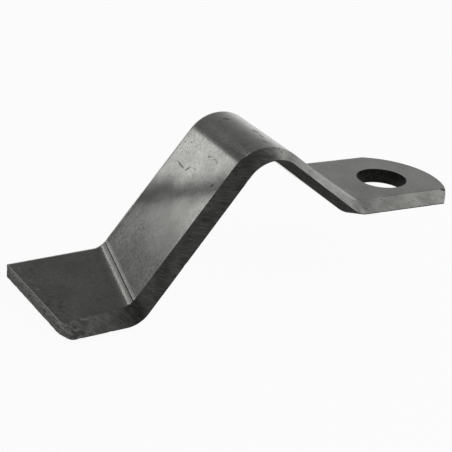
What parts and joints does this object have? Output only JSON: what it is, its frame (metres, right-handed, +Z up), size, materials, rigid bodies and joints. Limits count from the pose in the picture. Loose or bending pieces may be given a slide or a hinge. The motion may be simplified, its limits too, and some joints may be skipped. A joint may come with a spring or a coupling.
{
  "type": "hammer mill blade",
  "caption": "Bent flat steel blade with a bevelled cutting edge along one side, a flat foot, an arched middle and a round-ended tab with a bolt hole.",
  "frame": {"origin": "centre of the bolt hole, halfway through the tab", "axes": "+Z up through the bolt hole, +X along the bar from the hole to the tab's round end, cutting edge on the -Y side"},
  "size_m": [0.1801, 0.0532, 0.0659],
  "materials": {
    "ground_steel": "dark bare steel, semi-gloss, with grinding marks on the bevels"
  },
  "bodies": {
    "root": {"hammer_mill_blade": "ground_steel"}
  },
  "joints": []
}
